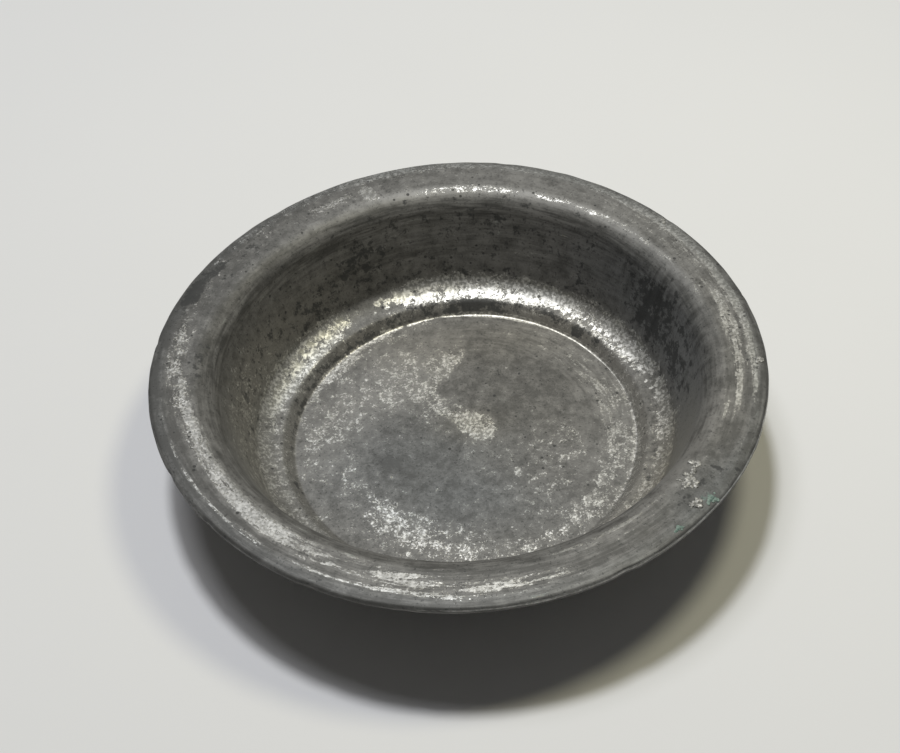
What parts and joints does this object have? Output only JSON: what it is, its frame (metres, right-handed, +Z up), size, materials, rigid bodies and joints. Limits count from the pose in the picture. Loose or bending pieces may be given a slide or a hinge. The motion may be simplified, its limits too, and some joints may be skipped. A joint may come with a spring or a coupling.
{
  "type": "shaving bowl",
  "caption": "Round shallow bowl with a steep-walled well, a wide flat brim with a turned-down edge and a low foot, to hold shaving lather or water.",
  "frame": {"origin": "centre of the flat underside that the bowl rests on", "axes": "+Z up along the bowl's axis, out of its mouth; X and Y lie in the resting plane and the shape is the same all round"},
  "size_m": [0.28, 0.28, 0.056],
  "materials": {
    "copper": "dark oxidised copper, bare on the worn resting face and where the tin is gone",
    "lining_tin": "old wiped tin, dulled to dark grey with bright silvery flecks and fine rings of scratches",
    "outer_tin": "old wiped tin, duller and darker than the lining, worn along the foot"
  },
  "bodies": {
    "root": {"copper_shell": "copper", "tin_lining": "lining_tin", "outer_tinning": "outer_tin"}
  },
  "joints": []
}
